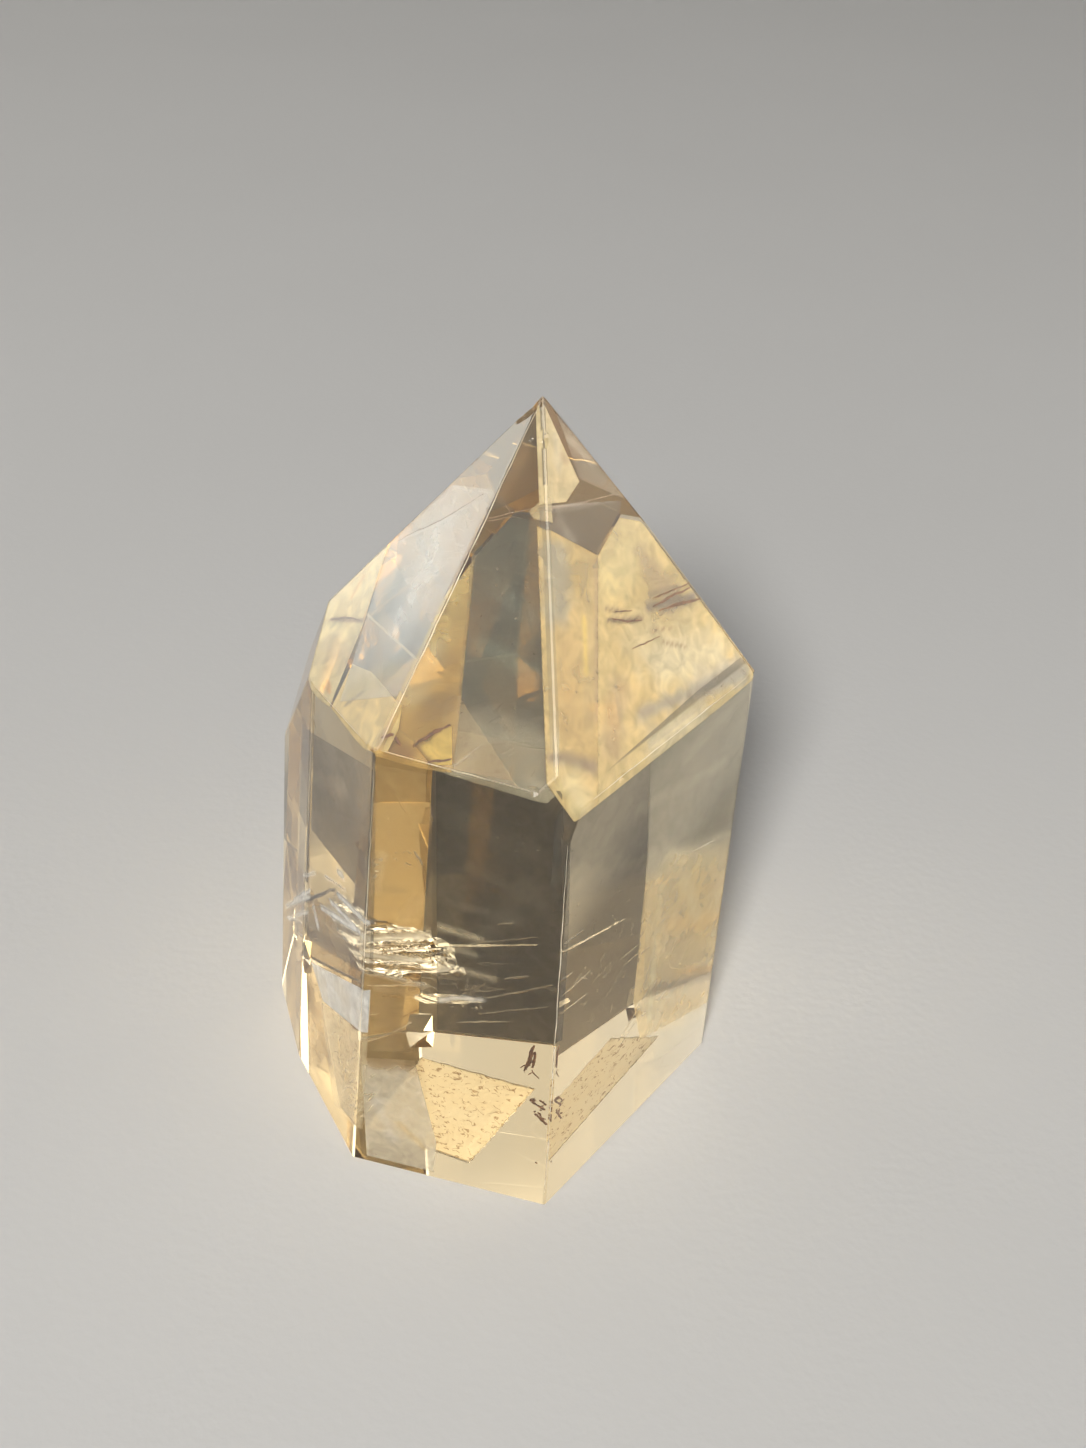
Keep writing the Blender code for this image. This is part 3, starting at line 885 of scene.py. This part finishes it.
def veilSkin(tree, place, look):
    cloud = cloudNoise(tree, place, look["cloudScale"])
    wisp = cloudNoise(tree, place, look["wispScale"], look["wispDetail"], look["wispBend"])
    cover = addNode(tree, "ShaderNodeAttribute", dict(attribute_name="cover")).outputs["Fac"]
    tint = addNode(tree, "ShaderNodeAttribute", dict(attribute_name="tint")).outputs["Color"]
    for field, span, result in ((cloud, "cloudSpan", "cloudCover"), (wisp, "wispSpan", "wispCover")):
        cover = maths(tree, "MULTIPLY", cover, remap(tree, field, look[span], look[result]))
    tone = addNode(tree, "ShaderNodeVectorMath", dict(operation="SCALE"),
                   Scale=remap(tree, wisp, look["shadeSpan"], look["shade"]))
    plug(tree, tint, tone.inputs[0])
    tone = tone.outputs["Vector"]
    front = addNode(tree, "ShaderNodeBsdfDiffuse", Color=tone).outputs["BSDF"]
    behind = addNode(tree, "ShaderNodeBsdfTranslucent", Color=tone).outputs["BSDF"]
    clear = addNode(tree, "ShaderNodeBsdfTransparent").outputs["BSDF"]
    milk = mixShaders(tree, look["through"], front, behind)
    return dict(Surface=mixShaders(tree, cover, clear, milk))


def makeHazeAndPaintedLight():
    bm = bmesh.new()
    bm.verts.layers.float.new("cover")
    bm.verts.layers.float_color.new("tint")
    for look in veils.values():
        addVeil(bm, **look)
    # one mesh for the golden haze and for the veils that paint sheen, reflection, glints and shade
    inStone("haze_and_painted_light", bm, newMaterial("hazeAndPaintedLight", veilSkin, veilLook))


makeHazeAndPaintedLight()
print("haze drawn")

# fine threads: narrow air-filled slits that flash as bright lines
threads = dict(   # by face: thickness, then places as across, up and depth
    wallFront=dict(
        lineUpper=(0.16, (2, 28.9, 7), (5.7, 30.2, 7.5), (9.3, 31.4, 8)),
        tickUpper=(0.14, (5.6, 32.9, 6), (7.3, 33.2, 6.5)),
        lineGold=(0.22, (3.9, 23.2, 6), (7.7, 24.7, 7), (10.9, 26.2, 8)),
        lineShort=(0.14, (9.4, 26.1, 7), (11, 25.6, 7)),
        tickMiddle=(0.26, (6.3, 26.4, 6), (7.5, 26.8, 6.3), (8.6, 27.1, 6.6)),
        tickLeft=(0.16, (3.1, 23.7, 6), (4.5, 25.2, 6.5)),
        lineLow=(0.18, (1.5, 19.4, 6), (4.2, 19.9, 7), (6.8, 20.2, 8)),
        lineRight=(0.14, (3.4, 20.6, 7), (7.2, 22.1, 7.5), (10.7, 23.3, 8)),
        lineStrip=(0.18, (-6.5, 23.7, 2), (-3.9, 24, 3), (-1.3, 24.5, 4)),
        lineStripLow=(0.12, (-6.6, 19.9, 2), (-5.1, 20.3, 2.6)),
        lineGoldLow=(0.22, (-6.7, 16.2, 2), (-4.3, 17.6, 3), (-2, 19.6, 4)),
        hookStrip=(0.3, (-1.4, 40.7, 3), (-0.9, 39.9, 3), (-0.6, 39.1, 3)),
        edgeChipLine=(0.22, (0.3, 45.6, 2.2), (0.6, 44.7, 2.2)),
    ),
    wallLeftFront=dict(
        strandA=(0.6, (-0.9, 23.7, 1.5), (4.4, 26.3, 2), (10, 28.6, 2.2)),
        strandB=(0.48, (1.2, 27.6, 1.5), (5.8, 29.3, 2), (10.4, 30.5, 2.2)),
        strandC=(0.36, (2.4, 26.5, 1.2), (6.6, 28.4, 1.6), (10.4, 29.7, 2)),
        strandD=(0.18, (-0.3, 22.4, 1.4), (3.3, 23.2, 1.8), (7.4, 25.4, 2)),
    ),
    wallLeft=dict(
        strandE=(0.5, (-12.2, 10.4, 1.5), (-3.6, 18.7, 1.8), (7.8, 29.7, 2)),
        strandF=(0.42, (-12.1, 9.3, 1.4), (-6.8, 13.5, 1.7), (-1.9, 17.3, 2)),
    ),
    wallRight=dict(
        rightDash=(0.2, (4.3, 31.7, 4), (8.2, 30, 4.4), (12.3, 28.6, 4.8)),
        rightDashLow=(0.16, (6.3, 26.5, 4), (8.5, 26.4, 4.3), (10.7, 26.7, 4.6)),
        rightBow=(0.14, (3.8, 19.9, 3), (5.6, 16.6, 3.2), (8, 14.4, 3.4), (14.1, 10.2, 3.6)),
        rightPairA=(0.18, (-3.4, 13, 3), (-1, 14.1, 3.4), (1.2, 15.2, 3.8)),
        rightPairB=(0.18, (-2.8, 12.1, 3), (-0.4, 13.2, 3.4), (1.8, 14.3, 3.8)),
        rightScratchA=(0.12, (-4.6, 25.4, 2), (-1.2, 24.9, 2.4)),
        rightScratchB=(0.12, (-3.8, 24.1, 2), (-0.8, 23.7, 2.4)),
        rightScratchC=(0.12, (-12.7, 27.4, 2), (-10.4, 28.1, 2.4)),
        vertGlow=(0.2, (-2.9, 49.1, 2), (-1.4, 34.3, 2), (0.1, 18.2, 2)),
    ),
    pointFront=dict(
        frontHook=(0.16, (0.2, 25.3, 1), (1.3, 25.7, 1), (2, 26.5, 1), (2.7, 26.4, 1)),
        frontHookTip=(0.12, (2, 26.6, 1), (3.1, 27.5, 1)),
        topThread=(0.1, (0.1, 45.8, 1.2), (1.5, 46.3, 1.4), (2.6, 46.7, 1.6), (3.9, 47.2, 1.6),
            (5.2, 47.9, 1.6)),
        topThreadLow=(0.08, (0.3, 45.7, 1.6), (1.9, 46.2, 1.8), (3.2, 46.4, 1.8)),
        topEdgeThread=(0.07, (1.1, 48.1, 1), (2.4, 46.6, 1.2)),
    ),
    pointRight=dict(
        rightThread=(0.12, (-3.1, 54.1, 1.2), (0.9, 53, 1.4), (5.3, 52.1, 1.6)),
        rightThreadLow=(0.08, (-3.2, 53.6, 1.2), (0.9, 52.5, 1.4), (4.4, 51.8, 1.6)),
    ),
    pointLeft=dict(
        leftStreak=(0.16, (-2.8, 41.7, 1), (-0.7, 44.4, 1.2), (1.3, 46.6, 1.4), (2.9, 49.1, 1.6),
            (4.5, 51.5, 1.8)),
        leftBorder=(0.07, (-0.8, 49.2, 0.8), (1.4, 49.9, 0.9), (3.4, 50.9, 0.9), (5.3, 51.8, 0.8)),
    ),
)
threadShape = dict(
    sides=6, steps=18, longStep=0.6, flat=0.4, margin=0.06,
    wander=0.10, wanderUp=1.3, wanderAcross=1.1,   # mm, noise scales
    thinnest=0.25, taper=0.6, uneven=0.6, unevenScale=3.1, tip=0.1,
)


def addRod(bm, stops, across, up, normal, thick):
    # a flat wandering rod along the stops, thin at both ends
    look = threadShape
    lengths = [0.0]
    for a, b in zip(stops, stops[1:]):
        lengths.append(lengths[-1] + (b - a).length)
    steps = max(look["steps"], int(lengths[-1] / look["longStep"]))
    sway = min(look["wander"], thick)
    rings, middles = [], []
    for k in range(1, steps):
        share = k / steps
        reach = share * lengths[-1]
        leg = max(i for i in range(len(stops) - 1) if lengths[i] <= reach)
        part = (reach - lengths[leg]) / (lengths[leg + 1] - lengths[leg])
        spot = stops[leg].lerp(stops[leg + 1], part)
        spot += (up * noise.noise(spot * look["wanderUp"])
                 + across * noise.noise(spot * look["wanderAcross"])) * sway
        if not insideStone(spot, thick / 2 + look["margin"]):
            continue
        along = (stops[leg + 1] - stops[leg]).normalized()
        side = normal.cross(along).normalized()
        belly = look["thinnest"] + (1 - look["thinnest"]) * math.sin(math.pi * share) ** look["taper"]
        width = thick / 2 * belly * (1 + look["uneven"] * noise.noise(spot * look["unevenScale"]))
        ring = []
        for j in range(look["sides"]):
            angle = 2 * math.pi * j / look["sides"]
            ring.append(bm.verts.new(spot + side * width * math.cos(angle)
                                     + side.cross(along) * width * look["flat"] * math.sin(angle)))
        rings.append(ring)
        middles.append(spot)
    if len(rings) < 2:
        return
    for low, high in zip(rings, rings[1:]):
        for j in range(look["sides"]):
            m = (j + 1) % look["sides"]
            bm.faces.new((low[j], low[m], high[m], high[j]))
    for spot, beyond, ring in ((middles[0], middles[1], rings[0]), (middles[-1], middles[-2], rings[-1])):
        end = bm.verts.new(spot * (1 + look["tip"]) - beyond * look["tip"])
        for j in range(look["sides"]):
            bm.faces.new((end, ring[j], ring[(j + 1) % look["sides"]]))


def addThread(bm, face, thick, path):
    across, up, normal = faceFrame(face)[:3]
    addRod(bm, [underFace(face, *place) for place in path], across, up, normal, thick)


def addThreads(bm, groups):
    for face, lines in groups.items():
        for thick, *path in lines.values():
            addThread(bm, face, thick, path)


starBurst = dict(
    face="wallFront", at=(3.0, 24.0, 6.0), spokes=11, reach=1.0, thick=0.11, seed=5,
    heart=0.2, lean=0.2, share=(0.5, 1.2), rise=0.4,
)


def addBurst(bm):
    look = starBurst
    pick = random.Random(look["seed"])
    u, v, depth = look["at"]
    for k in range(look["spokes"]):
        angle = 2 * math.pi * k / look["spokes"] + pick.uniform(-look["lean"], look["lean"])
        far = look["reach"] * pick.uniform(*look["share"])
        start = (u + look["heart"] * math.cos(angle), v + look["heart"] * math.sin(angle), depth)
        end = (u + far * math.cos(angle), v + far * math.sin(angle),
               depth + pick.uniform(-look["rise"], look["rise"]))
        addThread(bm, look["face"], look["thick"], [start, end])


strands = dict(   # short wavy threads: face, middle, spread, count, reach, lean in degrees, thickness, seed
    leftWallCurls=("wallLeftFront", (7, 8.6, 1.3), (3.6, 4, 0.4), 26, 2.4, 52, 0.15, 3),
    leftWallFan=("wallLeftFront", (5.5, 26.5, 1.6), (4, 2.4, 0.5), 14, 4.2, 24, 0.11, 4),
    stripFan=("wallFront", (-2.4, 27.6, 2.6), (2.8, 3.2, 0.9), 24, 3.4, 5, 0.1, 6),
    middleFan=("wallFront", (3, 27.4, 5), (2.6, 2.6, 1.4), 18, 3.2, 8, 0.07, 7),
    rightWallCurls=("wallRight", (2.6, 27, 1.4), (2, 8.5, 0.4), 34, 2.2, 64, 0.13, 9),
    rightWallSwirls=("wallRight", (9.4, 20.5, 1.4), (3.4, 5.5, 0.4), 22, 2.2, 28, 0.15, 10),
    rightWallTicks=("wallRight", (-5.6, 27.5, 1.6), (4.2, 8, 0.6), 26, 1, 52, 0.09, 12),
    footCurls=("wallFront", (-5.2, 9.4, 1.4), (2, 4.6, 0.4), 14, 1.6, 40, 0.11, 8),
)
strandShape = dict(
    leanSpread=14, half=(0.3, 0.6), bow=0.14, stops=(-1, -0.4, 0.3, 1),   # degrees, shares of the reach
    thick=(0.6, 1.4), shallowest=0.6,
)


def addStrands(bm, face, at, spread, count, reach, lean, thick, seed):
    shape = strandShape
    pick = random.Random(seed)
    for _ in range(count):
        u, v, depth = (middle + width * pick.uniform(-1, 1) for middle, width in zip(at, spread))
        angle = math.radians(lean + pick.uniform(-shape["leanSpread"], shape["leanSpread"]))
        half = reach * pick.uniform(*shape["half"])
        path = []
        for share in shape["stops"]:
            bow = half * shape["bow"] * pick.uniform(-1, 1)
            path.append((u + half * share * math.cos(angle) - bow * math.sin(angle),
                         v + half * share * math.sin(angle) + bow * math.cos(angle),
                         max(shape["shallowest"], depth)))
        addThread(bm, face, thick * pick.uniform(*shape["thick"]), path)


def makeThreads():
    bm = bmesh.new()
    addThreads(bm, threads)
    for look in strands.values():
        addStrands(bm, *look)
    addBurst(bm)
    inStone("fine_threads", bm, newMaterial("airThread", airSkin, crackLook))


makeThreads()
print("threads drawn")

# jagged little air pockets that sparkle
pockets = dict(   # face, middle (across, up, depth), spread each way, count, size
    topFlecks=("pointFront", (3.7, 52.9, 0.8), (0.7, 0.6, 0.2), 9, 0.38),
    topFlecksLow=("pointFront", (3.9, 53.6, 0.8), (0.4, 0.5, 0.2), 6, 0.29),
    frontEdgeFlecks=("pointFront", (0.8, 30.2, 1), (0.4, 1, 0.2), 9, 0.26),
    frontDust=("pointFront", (4.2, 37.5, 1.2), (3, 8, 0.6), 60, 0.18),
    stripSparks=("wallFront", (-4.7, 38.5, 2), (0.7, 1.3, 0.6), 10, 0.42),
    stripSparksUp=("wallFront", (-3.7, 43.2, 2), (1, 1, 0.6), 7, 0.22),
    stripSparksMid=("wallFront", (-2.2, 39.7, 3), (1, 0.7, 0.6), 8, 0.29),
    darkDust=("wallFront", (6.3, 39.6, 3), (5, 10, 2), 150, 0.19),
    swarm=("wallFront", (0.8, 26.2, 5), (1.6, 1.2, 1), 18, 0.21),
    burst=("wallFront", (3.1, 24.6, 6), (0.8, 0.6, 0.6), 14, 0.21),
    rightFaceSparks=("pointRight", (-4.1, 35.5, 1.6), (1.2, 1, 0.5), 9, 0.35),
    rightFaceSwirl=("pointRight", (-7.5, 35.5, 1.6), (1, 0.8, 0.5), 9, 0.42),
    rightFaceBits=("pointRight", (4.5, 39.2, 1.4), (2, 1.2, 0.4), 9, 0.14),
    rightWallFlash=("wallRight", (10.3, 29.9, 3), (0.8, 0.4, 0.4), 4, 0.35),
    rightWallSwirl=("wallRight", (5.8, 24.8, 3), (2.2, 4.5, 1), 16, 0.24),
    rightWallLow=("wallRight", (6.7, 9.7, 3), (1.8, 2.5, 1), 10, 0.32),
    rightWallDust=("wallRight", (-6.6, 34.3, 2), (4, 13, 1), 80, 0.17),
    leftWallSparks=("wallLeftFront", (5.4, 32.7, 1.4), (0.8, 1, 0.4), 7, 0.35),
    leftWallDust=("wallLeftFront", (4.1, 38.6, 1.4), (3, 7, 0.6), 40, 0.2),
    flashSparks=("wallFront", (1.2, 22.3, 5.6), (3, 0.5, 0.5), 22, 0.42),
    apexChips=("pointLeft", (2, 58.4, 0.7), (0.7, 1.2, 0.2), 12, 0.3),
    footTicks=("wallFront", (-3.9, 0.8, 1.2), (2.4, 0.8, 0.4), 8, 0.26),
    leftFaceDust=("pointLeft", (5.6, 41.9, 1), (5, 7, 0.4), 60, 0.18),
)
flakes = dict(   # dark mineral, given like the pockets
    longFlake=("wallFront", (9.2, 17.6, 3), (0.4, 0.9, 0.3), 8, 0.36),
    redBrown=("wallFront", (10.2, 12.3, 3), (0.6, 1.4, 0.4), 13, 0.5),
    lowSpeck=("wallFront", (10.3, 5.1, 2), (0.1, 0.1, 0.1), 2, 0.3),
    triangleDots=("pointFront", (-1.4, 28, 1), (1, 0.35, 0.2), 9, 0.24),
    triangleDark=("pointFront", (-2.3, 26.8, 1), (0.25, 0.25, 0.1), 5, 0.36),
    frontDots=("pointFront", (0.7, 34, 0.8), (1, 0.6, 0.1), 3, 0.09),
    rightFaceSpeckA=("pointRight", (4, 36.1, 1.2), (0.25, 0.15, 0.1), 3, 0.22),
    rightFaceSpeckB=("pointRight", (6, 33.9, 1.2), (0.25, 0.3, 0.1), 3, 0.2),
    tipDot=("pointFront", (5.2, 48.1, 0.6), (0.02, 0.02, 0.02), 1, 0.12),
    rightWallSpeck=("wallRight", (4.9, 44.7, 1), (2, 2, 0.2), 3, 0.1),
)
grainShape = dict(   # shares of the size
    size=(0.5, 1.5), long=(0.6, 1.5), wide=(0.3, 0.8), dent=(0.6, 1.3), turn=(0, 6.28),
    pocketFlat=0.45, flakeFlat=0.30, pocketSeed=11, flakeSeed=23,
    shallowest=0.3, margin=0.1,   # mm
)


def addGrain(bm, centre, size, pick, flatness):
    # a small jagged lump with its own turn and proportions
    look = grainShape
    angle = pick.uniform(*look["turn"])
    turn = Matrix.Rotation(angle, 4, Vector((pick.uniform(-1, 1), pick.uniform(-1, 1), 1)))
    long, wide = (size * pick.uniform(*look[way]) for way in ("long", "wide"))
    lump = bmesh.ops.create_icosphere(bm, subdivisions=1, radius=0.5)["verts"]
    for vert in lump:
        vert.co *= pick.uniform(*look["dent"])
    shape = Matrix.Diagonal((long, wide, size * flatness, 1))
    bmesh.ops.transform(bm, matrix=Matrix.Translation(centre) @ turn @ shape, verts=lump)


def scatter(bm, groups, seed, flatness):
    look = grainShape
    pick = random.Random(seed)
    for face, at, spread, count, size in groups.values():
        for _ in range(count):
            u, v, depth = (middle + width * pick.uniform(-1, 1) for middle, width in zip(at, spread))
            spot = underFace(face, u, v, max(look["shallowest"], depth))
            grainSize = size * pick.uniform(*look["size"])
            if insideStone(spot, grainSize + look["margin"]):
                addGrain(bm, spot, grainSize, pick, flatness)


def makePockets():
    bm = bmesh.new()
    scatter(bm, pockets, grainShape["pocketSeed"], grainShape["pocketFlat"])
    inStone("air_pockets", bm, newMaterial("airPocket", airSkin, crackLook), smooth=False)


makePockets()
print("pockets scattered")

needles = dict(   # dark mineral needles, given like the threads
    wallFront=dict(
        bladeLong=(0.4, (8.7, 16.6, 3), (9.3, 18.4, 3), (9.7, 20.6, 3.3)),
        bladeShort=(0.3, (9.5, 17.4, 3), (9.8, 18.8, 2.8), (9.9, 20, 2.8)),
        bladeSplinter=(0.12, (9, 17.8, 3), (8.4, 17.2, 2.8)),
        bladeFoot=(0.16, (9.5, 17.2, 3), (10.3, 16.4, 2.8)),
        leafA=(0.36, (9.5, 13, 3), (11, 12.2, 3)),
        leafB=(0.4, (9.9, 11.5, 3), (11.2, 10.2, 3)),
        leafC=(0.26, (10.3, 13.5, 3), (11.1, 12.9, 3)),
    ),
    pointRight=dict(
        combA=(0.2, (3.2, 42.2, 0.6), (6.4, 42, 0.6), (9.6, 41.5, 0.6)),
        combB=(0.14, (3.8, 42.8, 0.6), (9.4, 42, 0.6)),
        combC=(0.18, (3.8, 41.6, 0.6), (7, 41, 0.6), (9.9, 40.2, 0.6)),
        combD=(0.12, (5.4, 41.2, 0.6), (10.7, 40, 0.6)),
        splitA=(0.16, (-1.8, 43.5, 0.6), (0, 42.4, 0.6), (1.9, 41.7, 0.6)),
        splitB=(0.12, (-1.2, 43.8, 0.6), (1.1, 42.9, 0.6)),
        splitC=(0.1, (-1.1, 40.2, 0.6), (3.2, 39.6, 0.6)),
    ),
    pointFront=dict(
        triangleTop=(0.28, (-2.4, 26.8, 0.5), (-1, 27.9, 0.5), (0.4, 28.9, 0.5)),
        triangleFoot=(0.18, (-1.3, 25.4, 0.5), (1, 26.1, 0.5)),
        triangleCurl=(0.26, (-5.2, 26.8, 0.5), (-4.4, 27.4, 0.5), (-3.4, 26.4, 0.5)),
    ),
    pointLeft=dict(
        leftLine=(0.2, (-4, 32.5, 0.5), (-1.6, 34.2, 0.5), (0.6, 35.3, 0.5)),
        leftGrey=(0.12, (-2.8, 41.7, 0.6), (-0.7, 44.4, 0.6), (1.3, 46.6, 0.6), (2.9, 49.1, 0.6),
            (4.5, 51.5, 0.6)),
    ),
)
flakeLook = dict(
    dark=(0.035, 0.018, 0.008), rust=(0.32, 0.14, 0.05), grainScale=2500, grainDetail=3.0,
    bumpStrength=0.7, bumpDepth=0.00005, roughness=0.55,
)


def flakeSkin(tree, place, look):
    grain = cloudNoise(tree, place, look["grainScale"], look["grainDetail"])
    return mattSkin(tree, Base_Color=blendColours(tree, grain, look["dark"], look["rust"]),
                    Roughness=look["roughness"],
                    Normal=bumpFrom(tree, grain, look["bumpStrength"], look["bumpDepth"]))


def makeFlakes():
    bm = bmesh.new()
    scatter(bm, flakes, grainShape["flakeSeed"], grainShape["flakeFlat"])
    addThreads(bm, needles)
    inStone("mineral_flakes", bm, newMaterial("mineralFlake", flakeSkin, flakeLook), smooth=False)


makeFlakes()
print("flakes scattered")

# worn edges and painted edge highlights: hair-thin pale frosted lines just inside the ridges
frostAndHighlightEdges = dict(
    between=[
        ("pointFront", "pointLeft"), ("pointFront", "wallFront"), ("pointRight", "wallRight"),
        ("pointLeft", "wallLeftFront"), ("pointLeft", "wallFront"), ("wallFront", "wallRight"),
        ("wallFront", "wallLeftFront"), ("wallLeftFront", "wallLeft"),
    ],
    thick=0.09, inset=0.11, clearShare=0.6, footGap=1.2, sweep=60, step=0.25, sameWay=0.995,
    pale=(0.90, 0.87, 0.80), warm=(0.84, 0.74, 0.56), grainScale=900.0, grainDetail=2.0, roughness=0.6,
)


# pale frosting colour that also paints the bright edge highlights
def edgeSkin(tree, place, look):
    grain = cloudNoise(tree, place, look["grainScale"], look["grainDetail"])
    return mattSkin(tree, Base_Color=blendColours(tree, grain, look["pale"], look["warm"]),
                    Roughness=look["roughness"])


def addFrostAndHighlightEdge(bm, first, second):
    # finds the ridge between two faces and follows it a little way in
    look = frostAndHighlightEdges
    normalA, farA = faceFrame(first)[2:]
    normalB, farB = faceFrame(second)[2:]
    along = normalA.cross(normalB).normalized()
    outward = (normalA + normalB).normalized()
    share = normalA.dot(normalB)
    a = (farA - farB * share) / (1 - share * share)
    b = (farB - farA * share) / (1 - share * share)
    onEdge = normalA * a + normalB * b
    flats = [far for normal, far in sides if normal.dot(outward) > look["sameWay"]]
    cut = max([0.0] + [onEdge.dot(outward) - far for far in flats])
    middle = onEdge - outward * (cut + look["inset"])
    count = int(2 * look["sweep"] / look["step"])
    spots = [middle + along * (k * look["step"] - look["sweep"]) for k in range(count)]
    clearance = look["inset"] * look["clearShare"]
    kept = [spot for spot in spots if insideStone(spot, clearance) and spot.z > look["footGap"]]
    if len(kept) > 4:
        addRod(bm, [kept[0], kept[-1]], along.cross(outward), outward, outward, look["thick"])


def makeFrostAndHighlightEdges():
    bm = bmesh.new()
    for first, second in frostAndHighlightEdges["between"]:
        addFrostAndHighlightEdge(bm, first, second)
    inStone("frost_and_highlight_edges", bm, newMaterial("frostAndHighlightEdge", edgeSkin, frostAndHighlightEdges))


makeFrostAndHighlightEdges()
print("edges worn")
